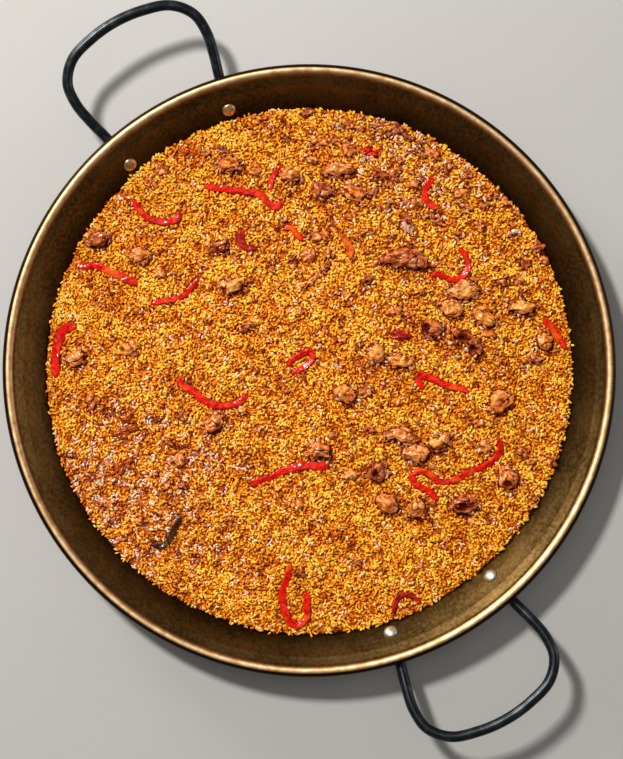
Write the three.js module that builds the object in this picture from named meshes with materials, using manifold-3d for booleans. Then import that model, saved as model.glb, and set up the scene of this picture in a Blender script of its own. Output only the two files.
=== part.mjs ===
// A wide, shallow steel pan of saffron rice, with chicken pieces and strips of red pepper on it.
// Millimetres, +Z up. The origin is the centre of the pan's underside, and the two handles lie along X.
// Each piece is a closed solid of its own: the pan, two bent-wire handles, four rivets, the bed of
// rice, and every chicken piece and pepper strip as large as a berry. Smaller bits belong to the rice.
import * as THREE from "three";
import { mergeVertices } from "three/addons/utils/BufferGeometryUtils.js";
import Module from "manifold-3d";

const wasm = await Module();
wasm.setup();

// Driving dimensions -------------------------------------------------------------------------
const GAP = 0.35; // air between neighbouring pieces

const PAN = {
  rimRadius: 400, // outside of the rolled rim
  height: 61, // top of the rolled rim
  sheet: 2, // thickness of the steel
  beadRadius: 7.5, // half the thickness of the rolled rim
  floorRadius: 330, // flat part of the floor
  cornerRadius: 14, // between floor and wall
  wallLean: 42, // degrees from upright
  creaseHeight: 46, // where the wall turns out into the rim
  facets: 60,
};

const HANDLE = {
  halfSpread: 12, // degrees between the handle's axis and each of its two rivets
  wireRadius: 7,
  tabHalfWidth: 10,
  tabThickness: 4,
  tabLength: 26,
  sides: 8,
  steps: 40,
};

const RIVET = { wallRadius: 361, shankRadius: 3.5, headRadius: 9.25, headHeight: 4.8 };

const RICE = { level: 17.5, cell: 15.5, bump: 1.9, swell: 1.1, calmMargin: 10 };

const STRIP = { thickness: 3.4, sides: 6, step: 9.5, lift: 1.4 };

const BIT_HEIGHT = 10; // of the smallest bits of chicken and pepper, which belong to the rice

// The rice in the photograph: its centre, and its half width and half height, in pixels.
const RICE_CENTRE_PX = [311.5, 371.5];
const RICE_HALF_PX = [268.5, 259.5];
const HANDLE_TURN = 60.8; // degrees by which the photograph is turned to bring the handles onto X

const radians = THREE.MathUtils.degToRad;
const UP = new THREE.Vector3(0, 0, 1);

// Pepper strips, each with the middle line that it follows in the photograph, in pixels.
const PEPPERS = {
  pepper_hook_nw: {
    width: 8.5,
    seen: [
      [130, 203], [138, 213.5], [146, 221.5], [156, 224.5], [167, 226], [177, 222], [178, 215],
    ],
  },
  pepper_west: {
    width: 9.5,
    seen: [
      [75, 267.5], [83, 270.5], [92, 269], [103, 273], [117, 278.5], [137, 287.5],
    ],
  },
  pepper_bar_north: {
    width: 8.5,
    seen: [
      [203.5, 190.2], [235, 194.8], [262, 199], [271, 208.5], [279, 211.5], [285, 205],
    ],
  },
  pepper_curl_north: {
    width: 7.5,
    seen: [
      [281.5, 170], [276.5, 177.5], [272.5, 186], [271.8, 194],
    ],
  },
  pepper_plum: { width: 9, seen: [[243, 234], [241, 245], [247.5, 252], [258, 251.5]] },
  pepper_centre_north: {
    width: 7.5,
    seen: [
      [285.5, 231.5], [293, 232.5], [299, 239.5], [307.5, 243],
    ],
  },
  pepper_orange: { width: 9, seen: [[344.5, 238], [350, 246], [353, 254], [354.5, 262]] },
  pepper_east_arc: {
    width: 8.5,
    seen: [
      [438.5, 182], [432, 190.5], [429, 200], [434.5, 208.5], [443.5, 212],
    ],
  },
  pepper_east_hook: {
    width: 7.5,
    seen: [
      [434.5, 279.5], [441.5, 277], [451.5, 281.5], [461, 283], [470, 277], [473, 267.5],
      [470, 258], [465, 252],
    ],
  },
  pepper_west_edge: {
    width: 12,
    seen: [
      [74, 330], [65, 329], [57.5, 339], [53.5, 351], [53, 365], [53.5, 379],
    ],
  },
  pepper_south_west: {
    width: 7,
    seen: [
      [198.5, 281], [192, 290], [183.5, 298.5], [173, 302], [161, 304], [151, 307],
    ],
  },
  pepper_smile: {
    width: 8.5,
    seen: [
      [178, 380.5], [184, 388], [192, 392], [202, 400], [214, 405.5], [227, 407.2], [239, 404],
      [248.5, 396],
    ],
  },
  pepper_leaf: {
    width: 7.5,
    seen: [
      [289, 368.5], [299.5, 359], [312, 353.5], [314.5, 361], [305, 370], [293.5, 375.5],
    ],
  },
  pepper_mid: {
    width: 9.5,
    seen: [
      [252, 486], [261.5, 480], [273, 477.5], [283, 471.5], [303, 466.3], [331, 466.3],
    ],
  },
  pepper_u_south: {
    width: 9,
    seen: [
      [291, 561], [289.5, 575], [285, 588], [285, 602], [290.5, 615], [299, 621], [307.5, 614],
      [309.5, 601], [308, 589],
    ],
  },
  pepper_dark_south: {
    width: 7,
    seen: [
      [396.5, 609], [399.5, 597], [408, 591.5], [417.5, 594.5], [424, 600],
    ],
  },
  pepper_long: {
    width: 8.5,
    seen: [
      [504.5, 438.5], [505, 451], [499.5, 459.5], [487, 467], [470, 473.5], [455, 480.5],
      [443.5, 481], [434, 475], [424, 471], [415, 474], [417, 481.5], [426, 487.5], [434, 491],
      [441.5, 500],
    ],
  },
  pepper_fold_east: {
    width: 8.5,
    seen: [
      [427.5, 391], [423, 384], [422.5, 376.5], [431, 378.5], [444, 384], [455, 388], [465, 389.5],
      [473.5, 393.5],
    ],
  },
  pepper_east_edge: { width: 9, seen: [[550, 321.5], [557, 329], [563.5, 337.5], [572.5, 351.5]] },
  pepper_skin_curl: {
    width: 7.5,
    seen: [
      [182, 515], [175.5, 526], [170, 536.5], [161, 544], [152, 543],
    ],
  },
};

// Chicken pieces: middle in the photograph, in pixels; length, width and height, in millimetres;
// turn in the photograph, in degrees from its right hand side; and, on a curved one, its bend.
const CHICKEN = {
  chicken_thigh_pale: { seen: [469, 293.5], size: [35, 26, 20], turn: 8 },
  chicken_thigh_tan: { seen: [457, 311.5], size: [31, 18, 16], turn: -22, bend: 50 },
  chicken_skin_tan: { seen: [488.5, 319], size: [32, 19, 17], turn: -34 },
  chicken_wing: { seen: [475.5, 343], size: [52, 19, 20], turn: -42, bend: 75 },
  chicken_east: { seen: [528, 309], size: [36, 17, 15], turn: 8, bend: 30 },
  chicken_dark_east: { seen: [436, 331], size: [30, 19, 16], turn: -30 },
  chicken_rib_tan: { seen: [404, 363.5], size: [36, 17, 15], turn: -8, bend: -25 },
  chicken_round_tan: { seen: [380, 357], size: [24, 22, 17], turn: 20 },
  chicken_east_edge: { seen: [551, 344], size: [22, 20, 15], turn: 60 },
  chicken_chunk_east: { seen: [505, 403.5], size: [31, 26, 19], turn: 30 },
  chicken_liver_centre: { seen: [405.5, 435.5], size: [37, 18, 17], turn: -14, bend: 40 },
  chicken_thigh_red: { seen: [420, 453], size: [34, 21, 18], turn: 4 },
  chicken_strip_tan: { seen: [445.5, 441], size: [31, 17, 15], turn: 28 },
  chicken_chunk_se: { seen: [513, 477], size: [31, 26, 20], turn: -35 },
  chicken_split_se: { seen: [467, 505], size: [35, 20, 17], turn: 4, bend: -35 },
  chicken_ball_south: { seen: [420, 508], size: [24, 23, 19], turn: 0 },
  chicken_thigh_south: { seen: [391, 502], size: [33, 25, 19], turn: -38, bend: 45 },
  chicken_smile_south: { seen: [215, 424], size: [25, 20, 17], turn: 25 },
  chicken_mid_south: { seen: [322, 450], size: [34, 18, 16], turn: -12, bend: 40 },
  chicken_dark_mid: { seen: [380.5, 472], size: [27, 23, 17], turn: 50 },
  chicken_lobe_mid: { seen: [347.5, 395], size: [31, 20, 17], turn: -42 },
  chicken_west_edge: { seen: [73, 360.5], size: [25, 19, 16], turn: 20 },
  chicken_tan_north_west: { seen: [234, 288.5], size: [30, 17, 16], turn: 8 },
  chicken_dark_west: { seen: [96, 243], size: [27, 20, 17], turn: 25 },
  chicken_shred_west: { seen: [139, 258.5], size: [27, 19, 16], turn: -15 },
  chicken_dark_north_west: { seen: [218.5, 249.5], size: [29, 15, 14], turn: 12, bend: 55 },
  chicken_north_west: { seen: [230.5, 169], size: [27, 19, 17], turn: 22 },
  chicken_thigh_north: { seen: [292, 178.5], size: [24, 22, 17], turn: 0 },
  chicken_dark_north: { seen: [325, 195], size: [26, 21, 17], turn: 5 },
  chicken_long_north: { seen: [340, 173.5], size: [38, 16, 15], turn: 4, bend: 30 },
  chicken_north: { seen: [357.5, 196.5], size: [29, 19, 16], turn: -20 },
  chicken_back_north: { seen: [409, 261], size: [60, 26, 18], turn: -8, bend: 35 },
};

// The smallest bits: middle in the photograph, in pixels; length and width, in millimetres; turn in
// the photograph, in degrees.
const BITS = [
  [159, 174, 19, 15, 20], [150, 190, 17, 11, -20], [159, 277, 22, 12, -10], [256, 175, 16, 11, 0],
  [322, 147, 19, 14, 0], [352, 154, 19, 15, 30], [385, 183, 19, 11, 10], [312, 259, 20, 16, 0],
  [370, 284, 15, 12, 40], [361, 134, 14, 11, 0], [387, 139, 15, 11, 60], [466, 199, 21, 13, 10],
  [486, 231, 19, 13, -30], [544, 252, 18, 15, 20], [499, 201, 15, 11, 0], [531, 268, 16, 13, 45],
  [398, 315, 18, 13, 0], [484, 424, 14, 10, 0], [489, 448, 21, 18, 0], [558, 462, 15, 12, 70],
  [538, 496, 13, 10, 0], [351, 476, 20, 17, 0], [300, 504, 15, 12, 20], [303, 572, 13, 10, 0],
  [92, 403, 19, 17, 0], [183, 417, 16, 14, 80], [248, 330, 21, 16, 10], [180, 462, 21, 18, 0],
  [129, 351, 21, 17, 15], [124, 433, 38, 12, 20], [373, 157, 20, 9, 10], [188, 157, 22, 9, -15],
  [371, 394, 19, 14, 10], [141, 520, 13, 10, 0], [230, 520, 14, 11, 40], [360, 560, 14, 11, 0],
  [311, 118, 18, 10, 0], [354, 131, 14, 11, -20], [378, 130, 15, 10, 0], [401, 134, 17, 12, -15],
  [336, 143, 17, 11, 10], [400, 177, 16, 11, 30], [418, 189, 20, 12, -25], [437, 159, 20, 13, -30],
  [457, 169, 15, 11, -30], [470, 213, 18, 13, 0], [418, 210, 22, 14, 20], [411, 224, 18, 10, -30],
  [428, 220, 13, 10, 0], [377, 198, 16, 12, 60], [443, 268, 13, 8, 10], [494, 338, 18, 11, -10],
  [404, 338, 28, 11, -10], [542, 361, 17, 15, 0], [524, 284, 20, 11, -15], [528, 453, 20, 9, -30],
  [437, 504, 16, 8, -60], [374, 431, 14, 10, 0], [222, 155, 15, 10, -20], [206, 157, 14, 9, 0],
  [296, 264, 14, 9, -20], [322, 241, 24, 13, 8], [330, 256.5, 18, 9, 65], [328, 272, 17, 9, 40],
  [314, 284, 28, 7, 48], [342, 131, 13, 9, 0], [412, 142, 15, 9, -30], [315, 164, 16, 10, 0],
  [411, 233, 18, 12, -50], [511, 206, 14, 10, -40], [523, 216, 13, 9, -45], [523, 237, 13, 9, -30],
  [551, 265, 13, 9, -20], [508, 287, 20, 8, -10], [127, 419, 20, 9, 60], [121, 467, 26, 13, 35],
  [183, 486, 16, 9, 0], [168, 487, 16, 10, 80], [158, 420, 13, 8, 20], [169, 443, 16, 8, -30],
];

const MATERIALS = {
  steel: new THREE.MeshStandardMaterial({ color: 0x7a5c38, roughness: 0.35, metalness: 0.9 }),
  handle: new THREE.MeshStandardMaterial({ color: 0x14181c, roughness: 0.3, metalness: 0.6 }),
  rivet: new THREE.MeshStandardMaterial({ color: 0xb9a684, roughness: 0.4, metalness: 0.9 }),
  rice: new THREE.MeshStandardMaterial({ color: 0xd98a12, roughness: 0.5, metalness: 0 }),
  chicken: new THREE.MeshStandardMaterial({ color: 0x7a3f24, roughness: 0.45, metalness: 0 }),
  pepper: new THREE.MeshStandardMaterial({ color: 0xc8180c, roughness: 0.3, metalness: 0 }),
};

// Solids and meshes ----------------------------------------------------------------------------

// A closed three.js geometry as a solid, turned right side out.
function solidOf(geometry) {
  const bare = geometry.index ? geometry.toNonIndexed() : geometry.clone();
  bare.deleteAttribute("normal");
  bare.deleteAttribute("uv");
  const merged = mergeVertices(bare, 1e-3);
  const corners = [];
  for (let i = 0; i < merged.index.count; i += 3) {
    const [a, b, c] = merged.index.array.subarray(i, i + 3);
    if (a !== b && b !== c && c !== a) corners.push(a, b, c);
  }
  const solidFrom = (triVerts) =>
    new wasm.Manifold(
      new wasm.Mesh({ numProp: 3, vertProperties: merged.attributes.position.array, triVerts }),
    );
  const made = solidFrom(new Uint32Array(corners));
  return made.volume() > 0 ? made : solidFrom(new Uint32Array(corners).reverse());
}

// The largest body of a solid, without the scraps that a cut can leave.
function largestBody(solid) {
  return solid.decompose().reduce((best, body) => (body.volume() > best.volume() ? body : best));
}

function addMesh(group, name, solid, material) {
  const { numProp, numVert, triVerts, vertProperties } = solid.getMesh();
  const places = new Float32Array(numVert * 3);
  for (let i = 0; i < numVert; i++) {
    places.set(vertProperties.subarray(i * numProp, i * numProp + 3), i * 3);
  }
  const geometry = new THREE.BufferGeometry()
    .setAttribute("position", new THREE.BufferAttribute(places, 3))
    .setIndex(new THREE.BufferAttribute(triVerts, 1));
  geometry.computeVertexNormals();
  const mesh = new THREE.Mesh(geometry, material);
  mesh.name = name;
  group.add(mesh);
}

// A round solid: a profile of [radius, height] points spun about +Z.
function spun(profile, facets, turn = 0) {
  const lathe = new THREE.LatheGeometry(
    profile.map(([r, z]) => new THREE.Vector2(r, z)),
    facets,
  );
  return solidOf(lathe.rotateX(Math.PI / 2).rotateZ(turn));
}

// A closed rod along a curve: a cylinder whose rings are laid across the curve. sectionAt(t) gives
// the half width and half thickness there, and faceAt(t) the way that its flat side looks.
function rod(curve, steps, sides, sectionAt, faceAt) {
  const cylinder = new THREE.CylinderGeometry(1, 1, 1, sides, steps);
  const points = cylinder.attributes.position;
  for (let i = 0; i < points.count; i++) {
    const t = THREE.MathUtils.clamp(0.5 - points.getY(i), 0, 1);
    const along = curve.getTangentAt(t);
    const face = faceAt(t).clone();
    face.addScaledVector(along, -face.dot(along)).normalize();
    const across = new THREE.Vector3().crossVectors(along, face);
    const [halfWidth, halfThickness] = sectionAt(t);
    const at = curve
      .getPointAt(t)
      .addScaledVector(across, points.getX(i) * halfWidth)
      .addScaledVector(face, points.getZ(i) * halfThickness);
    points.setXYZ(i, at.x, at.y, at.z);
  }
  return solidOf(cylinder);
}

// The same number from 0 to 1 for the same pair of whole numbers.
function scatter(i, j) {
  const s = Math.sin(i * 127.1 + j * 311.7) * 43758.5453;
  return s - Math.floor(s);
}

const arc = (centre, radius, from, to, count) =>
  Array.from({ length: count }, (_, i) => {
    const angle = radians(from + ((to - from) * i) / (count - 1));
    return [centre[0] + radius * Math.cos(angle), centre[1] + radius * Math.sin(angle)];
  });

// The pan ----------------------------------------------------------------------------------------

const lean = radians(PAN.wallLean);
const cornerCentre = [PAN.floorRadius, PAN.sheet + PAN.cornerRadius];
const beadCentre = [PAN.rimRadius - PAN.beadRadius, PAN.height - PAN.beadRadius];
const wallFoot = arc(cornerCentre, PAN.cornerRadius, -90, -PAN.wallLean, 2)[1];
const wallRadiusAt = (z) => wallFoot[0] + (z - wallFoot[1]) * Math.tan(lean);
const crease = [wallRadiusAt(PAN.creaseHeight), PAN.creaseHeight];

function panSolid() {
  const outside = [
    [0, 0],
    ...arc(cornerCentre, PAN.cornerRadius + PAN.sheet, -90, -PAN.wallLean, 3),
    [crease[0] + PAN.sheet * Math.cos(lean), crease[1] - PAN.sheet * Math.sin(lean)],
  ];
  const bead = arc(beadCentre, PAN.beadRadius, -144, 176, 8);
  const inside = [crease, ...arc(cornerCentre, PAN.cornerRadius, -PAN.wallLean, -90, 3), [0, PAN.sheet]];
  return spun([...outside, ...bead, ...inside], PAN.facets, Math.PI / PAN.facets);
}

// Both rivets of both handles, as [which side of X, which side of the handle].
const RIVETS = [1, -1].flatMap((end) => [1, -1].map((side) => [end, side]));

// The place of a rivet on the inside of the wall, the way up the wall there, and the way out of it.
function wallAt([end, side]) {
  const bearing = (end > 0 ? 0 : Math.PI) + side * radians(HANDLE.halfSpread);
  const radial = new THREE.Vector3(Math.cos(bearing), Math.sin(bearing), 0);
  const z = wallFoot[1] + (RIVET.wallRadius - wallFoot[0]) / Math.tan(lean);
  const flat = Math.cos(Math.PI / PAN.facets); // a facet's middle lies this much nearer the axis
  const place = radial.clone().multiplyScalar(RIVET.wallRadius * flat).setZ(z);
  const upWall = radial.clone().multiplyScalar(Math.sin(lean)).addScaledVector(UP, Math.cos(lean));
  const outOfWall = radial.clone().multiplyScalar(Math.cos(lean)).addScaledVector(UP, -Math.sin(lean));
  return { place, upWall: upWall.normalize(), outOfWall: outOfWall.normalize(), radial };
}

// A spun solid moved so that its +Z looks into the pan at a rivet.
function atRivet(solid, where) {
  const { place, outOfWall } = wallAt(where);
  const turn = new THREE.Quaternion().setFromUnitVectors(UP, outOfWall.clone().negate());
  const matrix = new THREE.Matrix4().compose(place, turn, new THREE.Vector3(1, 1, 1));
  return solid.transform(matrix.elements);
}

function rivetSolid() {
  const { shankRadius, headRadius, headHeight } = RIVET;
  const under = -PAN.sheet - GAP - HANDLE.tabThickness - GAP; // outer side of the handle's tab
  const dome = (base, way) =>
    [0, 0.6, 1].map((share) => [
      headRadius * Math.sqrt(1 - share * share),
      base + way * headHeight * share,
    ]);
  const shank = [
    [shankRadius, under],
    [shankRadius, GAP],
  ];
  return spun([...dome(under, -1).reverse(), ...shank, ...dome(GAP, 1)], 10);
}

const rivetHole = () =>
  spun(
    [
      [0, -12],
      [RIVET.shankRadius + GAP, -12],
      [RIVET.shankRadius + GAP, 4],
      [0, 4],
    ],
    12,
  );

// One handle: round wire with both ends hammered flat and riveted to the outside of the wall.
function handleSolid(end) {
  // From the rivet: how far up the wall, and how far out of it.
  const leg = (side) => {
    const { place, upWall, outOfWall } = wallAt([end, side]);
    const tab = PAN.sheet + GAP + HANDLE.tabThickness / 2;
    const wire = PAN.sheet + GAP + HANDLE.wireRadius;
    return [
      [-HANDLE.tabLength / 2, tab],
      [0, tab],
      [11, tab],
      [21, wire + 0.6],
    ].map(([up, out]) => place.clone().addScaledVector(upWall, up).addScaledVector(outOfWall, out));
  };
  // Beyond the wall: distance along X, across it, and height.
  const loop = [
    [386, 82.2, 38.2],
    [401, 86, 42],
    [424, 92.5, 50],
    [450, 97.5, 58],
    [478, 94, 66],
    [501, 73, 71.5],
    [512.5, 36, 74.2],
  ];
  const beyond = (side) =>
    loop.map(([x, y, z]) => new THREE.Vector3(end * x, end * side * y, z));
  const points = [
    ...leg(1),
    ...beyond(1),
    new THREE.Vector3(end * 516, 0, 75),
    ...beyond(-1).reverse(),
    ...leg(-1).reverse(),
  ];
  const curve = new THREE.CatmullRomCurve3(points, false, "centripetal");
  const length = curve.getLength();
  // 0 on the flat tabs and 1 on the round wire.
  const roundness = (t) =>
    THREE.MathUtils.smoothstep(
      Math.min(t, 1 - t) * length,
      HANDLE.tabLength * 0.92,
      HANDLE.tabLength * 1.55,
    );
  const sectionAt = (t) => [
    THREE.MathUtils.lerp(HANDLE.tabHalfWidth, HANDLE.wireRadius, roundness(t)),
    THREE.MathUtils.lerp(HANDLE.tabThickness / 2, HANDLE.wireRadius, roundness(t)),
  ];
  const outward = [wallAt([end, 1]).outOfWall, wallAt([end, -1]).outOfWall];
  const faceAt = (t) => {
    const legSide = outward[t < 0.5 ? 0 : 1];
    return legSide.clone().lerp(UP.clone().negate(), roundness(t));
  };
  const wire = rod(curve, HANDLE.steps, HANDLE.sides, sectionAt, faceAt);
  return [1, -1].reduce((cut, side) => cut.subtract(atRivet(rivetHole(), [end, side])), wire);
}

// The food ---------------------------------------------------------------------------------------

const riceEdge = wallRadiusAt(RICE.level);

// The place on the rice of a pixel of the photograph.
function fromPhoto([px, py]) {
  const across = ((px - RICE_CENTRE_PX[0]) * riceEdge) / RICE_HALF_PX[0];
  const up = ((RICE_CENTRE_PX[1] - py) * riceEdge) / RICE_HALF_PX[1];
  return new THREE.Vector2(across, up).rotateAround(new THREE.Vector2(), radians(HANDLE_TURN));
}

// The rice's level without its bumps: slow rises and dips.
function swellAt(x, y) {
  const slow = Math.sin(x / 71 + 0.6) * Math.cos(y / 58 - 0.4) + 0.6 * Math.sin((x + y) / 37);
  return RICE.level + RICE.swell * slow;
}

function pepperCurve({ seen }) {
  const points = seen.map((pixel, i) => {
    const at = fromPhoto(pixel);
    const arch = 0.5 * Math.sin(i * 1.9); // strips never lie quite flat
    return new THREE.Vector3(at.x, at.y, swellAt(at.x, at.y) + STRIP.lift + arch);
  });
  return new THREE.CatmullRomCurve3(points, false, "centripetal");
}

function pepperSolid(strip) {
  const curve = pepperCurve(strip);
  const length = curve.getLength();
  const sectionAt = (t) => {
    const toEnd = Math.min(t, 1 - t) * length;
    const taper = 0.62 + 0.38 * THREE.MathUtils.smoothstep(toEnd, 0, 10);
    const uneven = 1 + 0.1 * Math.sin(t * 9 + length);
    return [(strip.width / 2) * taper * uneven, (STRIP.thickness / 2) * taper];
  };
  const tilt = (t) => new THREE.Vector3(0.25 * Math.sin(t * 7), 0.25 * Math.cos(t * 5), 1);
  return rod(curve, Math.max(4, Math.round(length / STRIP.step)), STRIP.sides, sectionAt, tilt);
}

// A lump with a few broad lobes, bent in plan by so many degrees from end to end.
function chickenSolid({ seen, size, turn, bend = 0 }, seed) {
  const [length, width, height] = size;
  const lump = new THREE.IcosahedronGeometry(1.06, 1); // a little over 1, for its flat faces
  const points = lump.attributes.position;
  const phase = [1, 2, 3].map((k) => 2 * Math.PI * scatter(seed, k));
  for (let i = 0; i < points.count; i++) {
    const p = new THREE.Vector3().fromBufferAttribute(points, i);
    const lobes =
      1 +
      0.14 * Math.sin(3.1 * p.x + phase[0]) * Math.cos(2.3 * p.y + phase[1]) +
      0.12 * Math.sin(4.2 * p.y + 2.1 * p.z + phase[2]);
    p.multiplyScalar(lobes).multiply(new THREE.Vector3(length / 2, width / 2, height / 2));
    const curl = radians(bend) / length;
    if (curl) {
      p.y += (Math.cos(p.x * curl) - 1) / curl;
      p.x = Math.sin(p.x * curl) / curl;
    }
    points.setXYZ(i, p.x, p.y, p.z);
  }
  const at = fromPhoto(seen);
  const sunk = 0.16 * height;
  lump.rotateZ(radians(turn + HANDLE_TURN));
  lump.translate(at.x, at.y, swellAt(at.x, at.y) + sunk);
  return solidOf(lump);
}

const pepperLines = Object.values(PEPPERS).map((strip) => ({
  reach: strip.width / 2 + RICE.calmMargin,
  points: pepperCurve(strip).getSpacedPoints(24),
}));
const chickenPlaces = Object.values(CHICKEN).map(({ seen, size, turn }) => ({
  at: fromPhoto(seen),
  turn: radians(turn + HANDLE_TURN),
  reach: [size[0] / 2 + RICE.calmMargin, size[1] / 2 + RICE.calmMargin],
}));

// 0 in the open rice and 1 under a topping, where the bumps are pressed down.
function pressedAt(x, y) {
  const here = new THREE.Vector2(x, y);
  const underPepper = pepperLines.some(({ reach, points }) =>
    points.some((p) => Math.hypot(p.x - x, p.y - y) < reach),
  );
  const underChicken = chickenPlaces.some(({ at, turn, reach }) => {
    const local = here.clone().sub(at).rotateAround(new THREE.Vector2(), -turn);
    return Math.hypot(local.x / reach[0], local.y / reach[1]) < 1;
  });
  return underPepper || underChicken ? 1 : 0;
}

// A slab whose top is the rice's surface, on a lattice of staggered rows.
function surfaceSlab() {
  const cells = Math.ceil((2 * (riceEdge + 25)) / RICE.cell);
  const span = cells * RICE.cell;
  const depth = 40;
  const slab = new THREE.BoxGeometry(span, span, depth, cells, cells, 1);
  const points = slab.attributes.position;
  for (let i = 0; i < points.count; i++) {
    const row = Math.round((points.getY(i) + span / 2) / RICE.cell);
    const column = Math.round((points.getX(i) + span / 2) / RICE.cell);
    const x = points.getX(i) + (row % 2 ? RICE.cell / 4 : -RICE.cell / 4);
    const y = points.getY(i);
    const isTop = points.getZ(i) > 0;
    const bump = (2 * scatter(row, column) - 1) * RICE.bump;
    const surface = swellAt(x, y) + (pressedAt(x, y) ? 0.2 * bump - 0.5 : bump);
    points.setXYZ(i, x, y, isTop ? surface : surface - depth);
  }
  return solidOf(slab);
}

// The smallest bits, each sunk into the rice.
const bitSolids = () =>
  BITS.map(([px, py, length, width, turn]) => {
    const at = fromPhoto([px, py]);
    const bit = new THREE.OctahedronGeometry(1.15, 0);
    bit.scale(length / 2, width / 2, BIT_HEIGHT / 2);
    bit.rotateZ(radians(turn + HANDLE_TURN));
    bit.translate(at.x, at.y, swellAt(at.x, at.y) + 1);
    return solidOf(bit);
  });

function riceSolid(slab) {
  const top = RICE.level + 20;
  const bed = spun(
    [
      [0, PAN.sheet + GAP],
      ...arc(cornerCentre, PAN.cornerRadius - GAP, -90, -PAN.wallLean, 3),
      [wallRadiusAt(top) - GAP / Math.cos(lean), top],
      [0, top],
    ],
    PAN.facets,
    Math.PI / PAN.facets,
  );
  const rice = bitSolids().reduce((whole, bit) => whole.add(bit), slab);
  return largestBody(rice.intersect(bed));
}

// The whole ----------------------------------------------------------------------------------------

const panOfRice = new THREE.Group();
const pan = RIVETS.reduce((cut, where) => cut.subtract(atRivet(rivetHole(), where)), panSolid());
addMesh(panOfRice, "pan", pan, MATERIALS.steel);
addMesh(panOfRice, "handle_plus_x", handleSolid(1), MATERIALS.handle);
addMesh(panOfRice, "handle_minus_x", handleSolid(-1), MATERIALS.handle);
RIVETS.forEach((where, i) => {
  addMesh(panOfRice, `rivet_${i + 1}`, atRivet(rivetSolid(), where), MATERIALS.rivet);
});

const slab = surfaceSlab();
const aboveRice = slab.translate([0, 0, GAP]);
addMesh(panOfRice, "rice", riceSolid(slab), MATERIALS.rice);
Object.entries(PEPPERS).forEach(([name, strip]) => {
  addMesh(panOfRice, name, largestBody(pepperSolid(strip).subtract(aboveRice)), MATERIALS.pepper);
});
Object.entries(CHICKEN).forEach(([name, piece], i) => {
  const solid = chickenSolid(piece, i + 1).subtract(aboveRice);
  addMesh(panOfRice, name, largestBody(solid), MATERIALS.chicken);
});

export default panOfRice;
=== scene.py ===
"""A wide steel pan of saffron rice with chicken pieces and strips of roasted red pepper.

Metres, +Z up, in the frame of the solids: the centre of the pan's underside is the origin, and the
two handles lie along X. The pan, handles and rivets are spun and lofted finely from the solids' own
dimensions, the bed of rice becomes a sauce-stained core under tens of thousands of loose grains, and
each chicken piece and pepper strip is worked up where its solid lies.
"""

import math

import bmesh
import bpy
import numpy as np
from mathutils import Matrix, Vector, noise


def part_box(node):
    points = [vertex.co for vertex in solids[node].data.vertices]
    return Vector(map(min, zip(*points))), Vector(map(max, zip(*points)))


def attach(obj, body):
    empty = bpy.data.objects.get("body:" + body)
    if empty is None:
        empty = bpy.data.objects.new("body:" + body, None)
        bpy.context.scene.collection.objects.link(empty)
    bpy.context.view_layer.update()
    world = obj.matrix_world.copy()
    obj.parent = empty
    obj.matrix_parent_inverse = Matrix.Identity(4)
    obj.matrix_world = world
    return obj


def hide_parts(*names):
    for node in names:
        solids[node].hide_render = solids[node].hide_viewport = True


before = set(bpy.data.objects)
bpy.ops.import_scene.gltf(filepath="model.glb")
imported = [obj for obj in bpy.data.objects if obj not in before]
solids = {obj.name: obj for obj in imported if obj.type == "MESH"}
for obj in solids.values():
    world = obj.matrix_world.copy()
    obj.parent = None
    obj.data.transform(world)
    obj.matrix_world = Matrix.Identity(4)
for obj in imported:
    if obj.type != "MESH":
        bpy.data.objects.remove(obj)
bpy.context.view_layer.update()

MM = 0.001
SEED = 20

# The pan, as its solid has it.
RIM_RADIUS = 400 * MM
RIM_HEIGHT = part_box("pan")[1].z
SHEET = 2.0 * MM
BEAD_RADIUS = 7.5 * MM
FLOOR_RADIUS = 330 * MM
CORNER_RADIUS = 14 * MM
WALL_LEAN = math.radians(42)  # from upright
CREASE_HEIGHT = 46 * MM
GAP = 0.35 * MM  # between the wall and what is riveted to it

# The handles and their rivets.
RIVET_RADIUS = 361 * MM  # from the pan's axis
RIVET_SPREAD = math.radians(12)  # between a handle's axis and each of its rivets
RIVET_HEAD = 9.25 * MM
RIVET_DOME = 4.8 * MM
RIVET_SHANK = 3.5 * MM
WIRE_RADIUS = 7 * MM
TAB_HALF_WIDTH = 10 * MM
TAB_THICKNESS = 4 * MM
TAB_LENGTH = 26 * MM

# The rice.
RICE_LEVEL = 17.5 * MM
RICE_SWELL = 1.1 * MM
HEAP_HEIGHT = 1.15 * MM
HEAP_WIDTH = 17 * MM
CORE_SPACING = 3.2 * MM  # of the points of the bed under the grains
GRAIN_LENGTH = 6.9 * MM
GRAIN_WIDTH = 2.95 * MM
GRAIN_SPACING = 3.9 * MM
GRAIN_SHAKE = 0.27  # how far grains lie off their lattice, in spacings
LOOSE_GRAINS = 15000
GRAINS_A_PIECE = 7900

# The toppings: how far their middles lie above the rice's level, and how ragged the small ones are.
PEPPER_LIFT = 3.2 * MM
BIT_LIFT, BIT_HEIGHT, BIT_SHARE = 1.4 * MM, 10 * MM, 0.9
CRUMB_LIFT, CRUMB_SHARE = 2.1 * MM, 0.5
SHREDS = 420  # crumbs along the edges of the chicken pieces
STANDS_OUT = 2.0 * MM  # what reaches this far above the rice's level keeps grains away

# Where the photograph shows the rice, in pixels, and how far it is turned to bring the handles onto X.
RICE_CENTRE_PX = (311.5, 371.5)
RICE_HALF_PX = (268.5, 259.5)
HANDLE_TURN = math.radians(60.8)

# Where the rice is wet, and where it is greasy with meat, both with more painted glints: middle, in
# pixels, and reach.
WET = (130, 500, 150 * MM)
GREASY = (440, 140, 120 * MM)


# Shapes ------------------------------


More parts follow.
